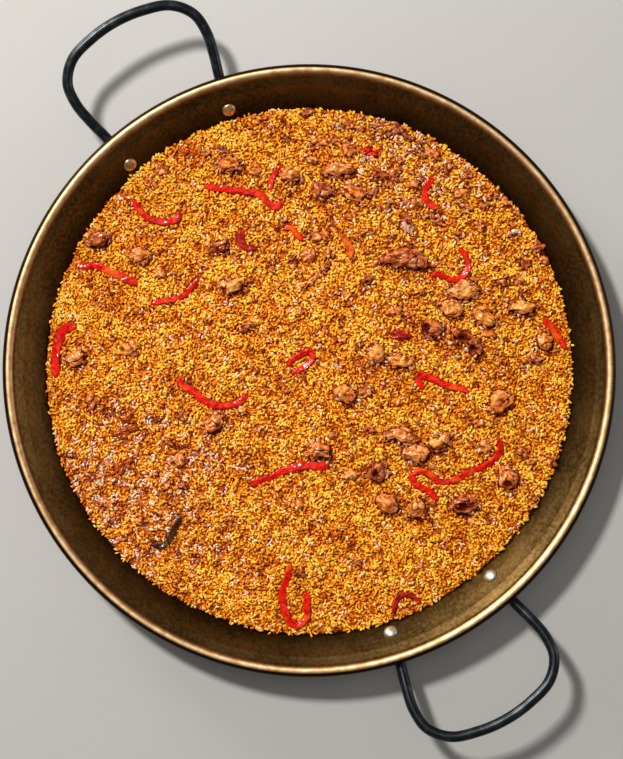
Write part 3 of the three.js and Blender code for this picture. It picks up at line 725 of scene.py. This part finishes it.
def make_pepper(name, width, colour, seen):
    """A soft flattened strip that follows its line, hollow in places and arched in others."""
    width *= MM
    points = []
    for i, pixel in enumerate(seen):
        x, y = from_photo(*pixel)
        points.append((x, y, float(swell(x, y)) + PEPPER_LIFT + 0.5 * MM * math.sin(i * 1.9)))
    length = smooth_path(points, 3)[1]
    rows, sides = max(16, round(length / (1.1 * MM))), 20
    line, _ = smooth_path(points, rows + 1)
    tangents = np.gradient(line, axis=0)

    def surface(u, v):
        i = min(round(u * rows), rows)
        at, along = Vector(line[i]), Vector(tangents[i]).normalized()
        lean = Vector((0.3 * math.sin(u * 7), 0.3 * math.cos(u * 5), 1))
        across = along.cross(lean).normalized()
        face = across.cross(along)
        side = math.cos(2 * math.pi * v)
        to_end = min(u, 1 - u) * length
        taper = min(1, 0.36 + 0.64 * (to_end / (8 * MM)) ** 0.6)
        uneven = 1 + 0.3 * noise.noise(at * 55 + Vector((0, 0, 0.6 * side)))
        arch = 1.5 * noise.noise(at * 45 + Vector((0, 0, 3))) - 0.15
        wrinkle = 0.7 * noise.noise(at * 210 + Vector((1.3 * side, 0, 0)))
        thick = 1.15 * math.sin(2 * math.pi * v) * min(1, 0.3 + 0.7 * to_end / (2 * MM))
        rise = (wrinkle - arch * (side * side - 0.4) + thick) * MM
        return at + across * (side * width / 2 * taper * uneven) + face * rise

    bm = tube_of(rows, sides, surface)
    strip = finish_piece(bm, f"{name}_strip", PEPPER_FLESH[colour])
    take_place(strip.data)
    strip.modifiers.new("soft", "SUBSURF").levels = 1
    strip.modifiers["soft"].render_levels = 1
    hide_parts(name)


def crag(place, seed):
    """How far a point of a chicken piece moves outwards, and how deep it lies, from 0 to 1.

    The place is in the piece's own axes, in millimetres, with its length along X.
    """
    place = place + Vector((31.7, 17.3, 9.1)) * seed
    lobes = noise.noise(place / 12)
    lumps = noise.noise(place / 5.6)
    flow = Vector((place.x / 15, place.y / 5, place.z / 5))
    ridges = 0.5 - 2.2 * abs(noise.noise(flow))
    groove = noise.noise(place / 12 + Vector((0, 0, 7.7)))
    fold = math.exp(-((groove / 0.08) ** 2)) * min(1.0, max(0.0, 0.7 + 3 * lobes))
    out = 3.6 * lobes + 1.0 * lumps + 0.9 * ridges - 2.6 * fold
    return out * MM, min(1.0, 0.95 * fold + max(0.0, -0.8 * lumps) + max(0.0, -0.6 * ridges))


def roughen(mesh, axes, middle, seed, share=1.0):
    """Gives a mesh the lobes, folds and fibres of torn chicken, with painted shade low down and in the
    creases.
    """
    points = points_of(mesh)
    normals = np.empty(points.size)
    mesh.vertices.foreach_get("normal", normals)
    normals = normals.reshape(-1, 3)
    own = (points - np.array(middle)) @ np.array(axes)
    out, crease = np.array([crag(Vector(place), seed) for place in own / MM]).T
    for px, py, reach in HOLLOWS:
        x, y = from_photo(px, py)
        near = np.hypot(points[:, 0] - x, points[:, 1] - y) / (reach * MM)
        depth = np.clip(1 - near * near, 0, 1) * (normals[:, 2] > 0)
        out -= 4.5 * MM * depth**2
        # The hollows are painted dark, as shade.
        crease += 1.3 * depth
    height = (points[:, 2] - swell(points[:, 0], points[:, 1])) / MM
    # Painted shade low down, near the rice.
    foot_shade = np.clip((4.7 - height) / 3.2, 0, 0.9) * share**2
    mesh.vertices.foreach_set("co", (points + normals * (out * share)[:, None]).ravel())
    mesh.update()
    crease = np.clip(np.maximum(crease, foot_shade - 0.4), 0, 1)
    carry(mesh, "crease", crease)
    carry(mesh, "foot_shade", foot_shade)
    carry(mesh, "flow", own + seed * np.array((0.137, 0.071, 0)), "FLOAT_VECTOR", "vector")


def points_of(mesh):
    """The places of a mesh's points."""
    points = np.empty(len(mesh.vertices) * 3)
    mesh.vertices.foreach_get("co", points)
    return points.reshape(-1, 3)


def own_axes(mesh):
    """The middle of a mesh, and its axes in plan, the longest first."""
    points = points_of(mesh)
    middle = points.mean(axis=0)
    _, across = np.linalg.eigh(np.cov((points - middle)[:, :2].T))
    long = Vector((across[0, 1], across[1, 1], 0))
    return Matrix((long, Vector((-long.y, long.x, 0)), Vector((0, 0, 1)))).transposed(), Vector(middle)


def remeshed(source, voxel, name):
    """A copy of a node's mesh, its triangles merged, remade in even small faces."""
    bm = bmesh.new()
    bm.from_mesh(source.data)
    bmesh.ops.remove_doubles(bm, verts=bm.verts, dist=1e-6)
    rough = linked(name, mesh_of(bm, name))
    remesh = rough.modifiers.new("even", "REMESH")
    remesh.mode, remesh.voxel_size = "VOXEL", voxel
    smooth = rough.modifiers.new("soft", "SMOOTH")
    smooth.factor, smooth.iterations = 0.6, 5
    evaluated = rough.evaluated_get(bpy.context.evaluated_depsgraph_get())
    even = bpy.data.meshes.new_from_object(evaluated)
    bpy.data.objects.remove(rough)
    even.name = name
    even.materials.clear()
    return even


def make_chicken(name, seed):
    """A chicken piece, torn and lobed, in the space of its solid."""
    mesh = remeshed(solids[name], 0.95 * MM, f"{name}_meat")
    roughen(mesh, *own_axes(mesh), seed)
    take_place(mesh, True)
    cooked = "tan" if name in TAN else "dark" if name in DARK else "brown"
    piece = dress(mesh, f"{name}_meat", MEATS[cooked])
    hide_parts(name)


def make_bits():
    """The bits too small for pieces of their own, and crumbs of meat, one object for each colour."""
    lumps = [ball(4, 0.7, 0.25, seed + 20) for seed in range(5)]
    crumbs = [ball(2, 1.0, 0.9 * (seed % 3 - 0.6), seed) for seed in range(9)]
    heaps = {}
    for number, (px, py, length, width, turn, *colour) in enumerate(BITS):
        size = (length * MM, width * MM, BIT_HEIGHT)
        turned = math.radians(turn) + HANDLE_TURN
        laid = (lumps[number % len(lumps)], *from_photo(px, py), BIT_LIFT, size, turned, BIT_SHARE)
        heaps.setdefault(colour[0] if colour else "brown", []).append(laid)
    rng = np.random.default_rng(SEED + 5)
    # Crumbs lie in clumps, most on the side of the pan where most of the chicken lies, and shreds
    # edge every piece.
    strewn = [rng.normal(middle, reach, (count, 2)) for middle, reach, count in CRUMB_SWARMS]
    x, y = np.array([from_photo(px, py) for px, py in np.concatenate(strewn)]).T
    clumped = (clouds(x, y, 21 * MM, SEED + 14) > 0.3) & (np.hypot(x, y) < RICE_EDGE - 6 * MM)
    places = list(zip(x[clumped], y[clumped]))
    places = [place for place in places if not TAKEN[cells_of(*map(np.array, place))]]
    edge = np.argwhere((spread(MEATY, 1, 0) > 0) & ~MEATY)
    places += [tuple((cell - TAKEN.shape[0] // 2) * CELL) for cell in rng.choice(edge, SHREDS)]
    for x, y in places:
        size = rng.uniform((4, 2.2, 2.5), (12, 4.5, 4.5)) * MM
        colour = rng.choice(["dark", "brown", "pale"], p=[0.43, 0.42, 0.15])
        shape = crumbs[rng.integers(len(crumbs))]
        laid = (shape, x, y, CRUMB_LIFT, size, rng.uniform(0, 6.3), CRUMB_SHARE)
        heaps.setdefault(colour, []).append(laid)
    for number, (colour, heap) in enumerate(sorted(heaps.items())):
        points, triangles, shares = [], [], []
        for shape, x, y, above, size, turn, share in heap:
            place = np.array([[x, y, float(swell(x, y)) + above]])
            moved, corners = copies_of(shape, place, np.array([size]), turned_about(2, [turn]))
            triangles.append(corners + sum(map(len, points)))
            points.append(moved[0])
            shares += [share] * len(moved[0])
        mesh = mesh_from(f"{colour}_bits", np.concatenate(points), np.concatenate(triangles))
        roughen(mesh, Matrix.Identity(3), Vector(), 40 + number, np.array(shares))
        take_place(mesh)
        slot, finishes = ("pepper", PEPPER_FLESH) if colour in PEPPER_FLESH else ("chicken", MEATS)
        dress(mesh, mesh.name, finishes[colour])


def ball(subdivisions, ragged, bend, seed):
    """Points and triangles of a ragged ball one across, bent sideways."""
    bm = bmesh.new()
    bmesh.ops.create_icosphere(bm, subdivisions=subdivisions, radius=0.5)
    for vert in bm.verts:
        at = vert.co + Vector((seed * 1.7, 0, 0))
        vert.co *= 1 + ragged * (noise.noise(at * 3.5) + 0.35 * noise.noise(at * 8))
        vert.co.y += bend * (0.25 - vert.co.x * vert.co.x) * 2
    return arrays_of(bm)


# The rice ------------------------------


def cells_of(x, y):
    """The cells of TAKEN, and of the maps like it, that hold these places."""
    half = TAKEN.shape[0] // 2
    return np.round(x / CELL).astype(int) + half, np.round(y / CELL).astype(int) + half


def take_place(mesh, meat=False):
    """Marks the cells where a topping stands above the grains."""
    points = points_of(mesh)
    high = points[:, 2] > swell(points[:, 0], points[:, 1]) + STANDS_OUT
    cells = cells_of(points[high, 0], points[high, 1])
    TAKEN[cells] = True
    MEATY[cells] |= meat


def spread(marked, grown, blurred):
    """1 on marked cells and some cells beyond them, falling to 0 farther away."""
    soft = marked.astype(float)
    ways = [(1, 0), (-1, 0), (0, 1), (0, -1)]
    for _ in range(grown):
        soft = np.max([soft] + [np.roll(soft, way, (0, 1)) for way in ways], axis=0)
    for _ in range(blurred):
        soft = np.mean([soft] + [np.roll(soft, way, (0, 1)) for way in ways], axis=0)
    return soft


def around(x, y, px, py, reach):
    """1 at a pixel of the photograph, falling to 0 over a reach."""
    at_x, at_y = from_photo(px, py)
    return np.exp(-(((x - at_x) ** 2 + (y - at_y) ** 2) / reach**2))


def wetness(x, y):
    """1 on the wet, sauce-stained side, in the photograph's lower left, and 0 on dry rice."""
    patches = 0.22 * clouds(x, y, 60 * MM, SEED + 7)
    return np.clip(around(x, y, *WET) + patches, 0, 1)


def flooded(x, y):
    """1 where sauce stands between the grains, and 0 where it doesn't."""
    return np.clip(0.55 * clouds(x, y, 22 * MM, SEED + 12) + 1.2 * wetness(x, y) - 1.25, 0, 1)


def make_rice_core():
    """The bed under the grains, down to the pan's floor, with relief as fine as the grains."""
    half = RICE_EDGE + 6 * MM
    count = round(2 * half / CORE_SPACING)
    bm = bmesh.new()
    bmesh.ops.create_grid(bm, x_segments=count, y_segments=count, size=half)
    limit = RICE_EDGE - 1.0 * MM
    outside = [v for v in bm.verts if math.hypot(v.co.x, v.co.y) > limit + CORE_SPACING]
    bmesh.ops.delete(bm, geom=outside, context="VERTS")
    for vert in bm.verts:
        radius = math.hypot(vert.co.x, vert.co.y)
        if radius > limit:
            vert.co *= limit / radius
    across = np.array([vert.co[:] for vert in bm.verts])
    x, y = across[:, 0], across[:, 1]
    for vert, level in zip(bm.verts, heaped(x, y) + 1.5 * MM * flooded(x, y)):
        vert.co.z = level - 1.2 * MM + 0.9 * MM * noise.noise(vert.co / (4 * MM))
    rim = [edge for edge in bm.edges if edge.is_boundary]
    for height, radius in ((10 * MM, wall_radius(10 * MM) - 1 * MM), (3 * MM, FLOOR_RADIUS)):
        lowered = bmesh.ops.extrude_edge_only(bm, edges=rim)["geom"]
        for vert in (part for part in lowered if isinstance(part, bmesh.types.BMVert)):
            flat = Vector((vert.co.x, vert.co.y, 0)).normalized() * radius
            vert.co = Vector((flat.x, flat.y, height))
        rim = [part for part in lowered if isinstance(part, bmesh.types.BMEdge)]
    bmesh.ops.holes_fill(bm, edges=rim, sides=0)
    bmesh.ops.recalc_face_normals(bm, faces=bm.faces)
    core = finish_piece(bm, "rice_bed", SAUCE)
    x, y = points_of(core.data)[:, :2].T
    carry(core.data, "shadow_and_juice", SHADOW_AND_JUICE[cells_of(x, y)])
    carry(core.data, "pool", flooded(x, y))
    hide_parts("rice")


def grain_template(bend, plump):
    """Points and triangles of one grain along X: a plump spindle of few sides, slightly bent."""
    bm = bmesh.new()
    bmesh.ops.create_uvsphere(bm, u_segments=6, v_segments=3, radius=0.5)
    bmesh.ops.rotate(bm, verts=bm.verts, matrix=Matrix.Rotation(math.pi / 2, 3, "Y"))
    for vert in bm.verts:
        middle = 1 - (2 * vert.co.x) ** 2
        vert.co.x *= GRAIN_LENGTH
        vert.co.y = vert.co.y * GRAIN_WIDTH * 1.12 * plump + bend * middle * MM
        vert.co.z *= GRAIN_WIDTH * 1.05 * plump
    return arrays_of(bm)


def grain_places():
    """Where the grains lie: a shaken lattice over the whole bed, and loose ones heaped on it."""
    rng = np.random.default_rng(SEED)
    steps = int(RICE_EDGE / GRAIN_SPACING) + 2
    column, row = np.meshgrid(np.arange(-steps, steps + 1), np.arange(-steps * 1.16, steps * 1.16))
    x = (column + 0.5 * (row.round() % 2)).ravel() * GRAIN_SPACING
    y = row.ravel() * GRAIN_SPACING * 0.866
    x = x + rng.normal(0, GRAIN_SHAKE, x.size) * GRAIN_SPACING
    y = y + rng.normal(0, GRAIN_SHAKE, y.size) * GRAIN_SPACING
    lift = rng.normal(0.35, 0.55, x.size)
    loose = rng.uniform(-1, 1, (LOOSE_GRAINS, 2)) * RICE_EDGE
    loose = loose[clouds(loose[:, 0], loose[:, 1], 24 * MM, SEED + 2) > -0.1]
    x, y = np.concatenate([x, loose[:, 0]]), np.concatenate([y, loose[:, 1]])
    lift = np.concatenate([lift, rng.normal(1.9, 0.4, len(loose))])
    lift -= 2.4 * flooded(x, y)
    z = heaped(x, y) + lift * MM
    radius = np.hypot(x, y)
    keep = (radius < wall_radius(z) - 1.9 * MM) & (radius < RICE_EDGE + 1.5 * MM)
    x, y, z = x[keep], y[keep], z[keep]
    free = ~TAKEN[cells_of(x, y)]
    return x[free], y[free], z[free]


def grain_looks(x, y, z, rng):
    """Each grain's tone, from 0 brown to 1 yellow; how wet it is; and how pale it is painted as a
    glint.
    """
    wet, greasy = wetness(x, y), around(x, y, *GREASY)
    patches = 0.10 * clouds(x, y, 55 * MM, SEED + 8) + 0.14 * clouds(x, y, 15 * MM, SEED + 9)
    height = (z - swell(x, y)) / MM
    # Lower grains are painted deeper in colour: partly sauce staining, partly painted shade.
    tone = 0.46 + patches - 0.17 * wet + 0.08 * greasy + 0.07 * height + rng.normal(0, 0.15, x.size)
    # A painted shadow beside the chicken darkens the grains.
    tone -= 0.6 * SHADOW_AND_JUICE[cells_of(x, y)]
    # Clumps of pale grains are painted glints, most where the rice is wet or greasy.
    painted_glints = 1.5 * clouds(x, y, 14 * MM, SEED + 10) + 2.0 * wet + 2.0 * greasy - 1.9
    chance = 0.045 + 0.8 * np.clip(painted_glints, 0, 0.9)
    pale = (rng.random(x.size) < chance) * rng.uniform(0.6, 1.0, x.size)
    return np.stack([tone, wet, pale], 1)


def make_grains():
    """The loose grains, joined into a few pieces of thousands each."""
    x, y, z = grain_places()
    rng = np.random.default_rng(SEED + 1)
    order = rng.permutation(len(x))
    x, y, z = x[order], y[order], z[order]
    looks = grain_looks(x, y, z, rng)
    templates = [grain_template(*shape) for shape in ((0.0, 1), (0.55, 0.95), (0.9, 1.04), (0.3, 1.12))]
    pieces = math.ceil(len(x) / GRAINS_A_PIECE)
    for piece in range(pieces):
        mine = slice(piece * len(x) // pieces, (piece + 1) * len(x) // pieces)
        places = np.stack([x[mine], y[mine], z[mine]], 1)
        template = templates[piece % len(templates)]
        make_grain_piece(f"rice_grains_{piece + 1}", template, places, looks[mine], rng)


def make_grain_piece(name, template, places, looks, rng):
    """One piece of grains that lie turned and tipped at their places, each of its own size."""
    points = template[0]
    count = len(places)
    turns = turned_about(2, rng.uniform(0, 2 * np.pi, count))
    turns = turns @ turned_about(1, rng.normal(0, 0.3, count))
    turns = turns @ turned_about(0, rng.uniform(0, 2 * np.pi, count))
    sizes = rng.normal(1, 0.09, (count, 3)).clip(0.75, 1.25)
    grains, corners = copies_of(template, places, sizes, turns)
    mesh = mesh_from(name, grains, corners)

    # The grain's looks on each of its points, which are deeper in colour the lower they lie: partly
    # sauce staining, partly painted shade.
    rise = (grains[:, :, 2] - places[:, 2:]) / (GRAIN_WIDTH / 2)
    look = np.ones((count, len(points), 4))
    look[:, :, :3] = looks[:, None]
    look[:, :, 0] = np.clip(look[:, :, 0] + 0.17 * rise, 0.02, 1)
    look[:, :, 1] = (0.42 + 0.5 * look[:, :, 1]) * np.clip(0.25 + 0.9 * rise, 0, 1)
    # A glint's pale is painted on the grain's upper side only, as a painted highlight.
    look[:, :, 2] *= np.clip(1.2 * rise, 0, 1)
    carry(mesh, "grain_look", look, "FLOAT_COLOR", "color")

    # Each grain has a small square of the map to itself.
    across = math.ceil(math.sqrt(count))
    cell = np.stack([np.arange(count) % across, np.arange(count) // across], 1)
    inside = 0.5 + 0.7 * points[:, :2] / np.ptp(points[:, :2], axis=0)
    spots = (cell[:, None] + inside[None]) / across
    chart = mesh.uv_layers.new(name="OFBake")
    chart.data.foreach_set("uv", spots.reshape(-1, 2)[corners.ravel()].ravel())
    dress(mesh, name, GRAIN)


# Stage, light and camera ------------------------------

PHOTO_SIZE_PX = (623, 759)
RIM_CENTRE_PX = (309.3, 368.3)
RIM_HALF_PX = 308
SENSOR = 36  # millimetres, as the lens is
CAMERA_DISTANCE = 2.0
CAMERA_ELEVATION = math.radians(88)
IMAGE_UP = Vector((-math.sin(HANDLE_TURN), math.cos(HANDLE_TURN), 0))
IMAGE_RIGHT = Vector((math.cos(HANDLE_TURN), math.sin(HANDLE_TURN), 0))


def make_camera():
    """A camera that sees the rim where the photograph has it, and as large."""
    metres_a_pixel = RIM_RADIUS / RIM_HALF_PX
    data = bpy.data.cameras.new("camera")
    data.sensor_width = SENSOR
    data.lens = SENSOR * CAMERA_DISTANCE / (max(PHOTO_SIZE_PX) * metres_a_pixel)
    camera = linked("camera", data)
    bpy.context.scene.camera = camera
    right = (PHOTO_SIZE_PX[0] / 2 - RIM_CENTRE_PX[0]) * metres_a_pixel
    down = (PHOTO_SIZE_PX[1] / 2 - RIM_CENTRE_PX[1]) * metres_a_pixel
    target = Vector((0, 0, RIM_HEIGHT)) + IMAGE_RIGHT * right - IMAGE_UP * down
    back = -IMAGE_UP * math.cos(CAMERA_ELEVATION) + Vector((0, 0, math.sin(CAMERA_ELEVATION)))
    camera.location = target + back * CAMERA_DISTANCE
    camera.rotation_mode = "QUATERNION"
    up = back.cross(IMAGE_RIGHT).normalized()
    camera.rotation_quaternion = Matrix((IMAGE_RIGHT, up, back)).transposed().to_quaternion()


def area_light(name, place, size, power, colour):
    """A round soft light that shines on the middle of the pan."""
    data = bpy.data.lights.new(name, "AREA")
    data.shape, data.size, data.energy, data.color = "DISK", size, power, colour
    light = linked(name, data)
    light.location = place
    light.rotation_mode = "QUATERNION"
    light.rotation_quaternion = Vector(place).to_track_quat("Z", "Y")


def make_stage():
    """The table, the studio's even light, and four lights."""
    bm = bmesh.new()
    bmesh.ops.create_grid(bm, x_segments=1, y_segments=1, size=6)
    table = linked("table", mesh_of(bm, "table"))
    table.data.materials.append(table_top())
    table.location.z = -0.4 * MM

    world = bpy.data.worlds.new("studio")
    bpy.context.scene.world = world
    world.use_nodes = True
    background = world.node_tree.nodes["Background"]
    background.inputs["Color"].default_value = (1.0, 0.96, 0.89, 1)
    background.inputs["Strength"].default_value = 0.16
    # Two lights come from the photograph's upper left, one high and one low. The others are fainter.
    toward = IMAGE_UP * 0.75 - IMAGE_RIGHT * 0.66
    area_light("key", toward * 2.5 + Vector((0, 0, 3.2)), 0.5, 160, (1, 0.97, 0.92))
    area_light("low", toward * 3.0 + Vector((0, 0, 0.7)), 1.0, 54, (1, 0.96, 0.9))
    area_light("above", toward * 0.3 + Vector((0, 0, 2.8)), 1.6, 5, (1, 0.97, 0.93))
    sideways = IMAGE_RIGHT * 2.6 + IMAGE_UP * 0.4
    area_light("right", sideways + Vector((0, 0, 0.8)), 1.2, 12, (1, 0.97, 0.94))


# Making it all ------------------------------

STEEL, BLACK_STEEL = pan_steel(), handle_steel()
# Lit and shaded copies of the rivet steel: the heads on the +X wall, where the light falls, are painted
# pale as if lit, and those at -X are painted darker bronze as if shaded.
RIVETS = {
    1: rivet_steel("rivet_lit_pale", (0.78, 0.74, 0.60), (0.42, 0.38, 0.26)),
    -1: rivet_steel("rivet_shaded_bronze", (0.72, 0.42, 0.22), (0.34, 0.18, 0.08)),
}
SAUCE, GRAIN = rice_sauce(), rice_grain()
# What is dark, middling and light on each kind of chicken.
CHICKEN_COLOURS = {
    "tan": ((0.46, 0.060, 0.001), (1.0, 0.35, 0.040), (1.0, 0.62, 0.29)),
    "brown": ((0.36, 0.030, 0.0008), (0.96, 0.27, 0.032), (1.0, 0.58, 0.28)),
    "dark": ((0.17, 0.008, 0.0004), (0.62, 0.12, 0.015), (1.0, 0.48, 0.22)),
    # The pale kind stands partly for pale meat and partly for glints on the meat, as painted
    # highlights.
    "pale": ((0.36, 0.06, 0.006), (0.98, 0.52, 0.28), (1.0, 0.84, 0.68)),
}
# The deep, open and patchy colours of each kind of pepper.
PEPPER_COLOURS = {
    "red": ((0.46, 0.003, 0.0008), (0.86, 0.010, 0.001), (0.88, 0.085, 0.001)),
    "plum": ((0.20, 0.003, 0.002), (0.45, 0.010, 0.005), (0.6, 0.02, 0.01)),
    "orange": ((0.45, 0.05, 0.002), (0.78, 0.14, 0.005), (0.6, 0.1, 0.004)),
    "amber": ((0.22, 0.025, 0.001), (0.55, 0.10, 0.004), (0.4, 0.06, 0.003)),
    "skin": ((0.02, 0.006, 0.003), (0.07, 0.02, 0.01), (0.25, 0.09, 0.06)),
}
MEATS = {name: chicken_meat(f"chicken_{name}", *three) for name, three in CHICKEN_COLOURS.items()}
PEPPER_FLESH = {name: pepper_flesh(f"pepper_{name}", *three) for name, three in PEPPER_COLOURS.items()}

CELL, CELLS = 1.4 * MM, 560
TAKEN = np.zeros((CELLS, CELLS), bool)  # where toppings lie on the rice
MEATY = np.zeros(TAKEN.shape, bool)  # where chicken does
CALM = np.zeros(TAKEN.shape)  # how flat the rice is pressed
SHADOW_AND_JUICE = np.zeros(TAKEN.shape)  # how dark the rice is painted beside the chicken: a painted shadow, partly the chicken's juices

make_pan()
make_rivets()
make_handle(1, "handle_plus_x")
make_handle(-1, "handle_minus_x")
for name, (width, colour, seen) in PEPPERS.items():
    make_pepper(name, width, colour, seen)
for number, name in enumerate(sorted(n for n in solids if n.startswith("chicken")), 1):
    make_chicken(name, number)
make_bits()
CALM[:] = spread(TAKEN, 4, 4)
SHADOW_AND_JUICE[:] = np.roll(spread(MEATY, 1, 3), (3, 0), (0, 1))  # a painted shadow, shifted to the side away from the lights, partly the chicken's juices
# Grains are kept off the shaded side of the chicken, where the painted shadow on the bed shows.
TAKEN |= np.roll(MEATY, (1, 0), (0, 1))
make_rice_core()
make_grains()
make_stage()
make_camera()
bpy.context.scene.view_settings.view_transform = "Standard"
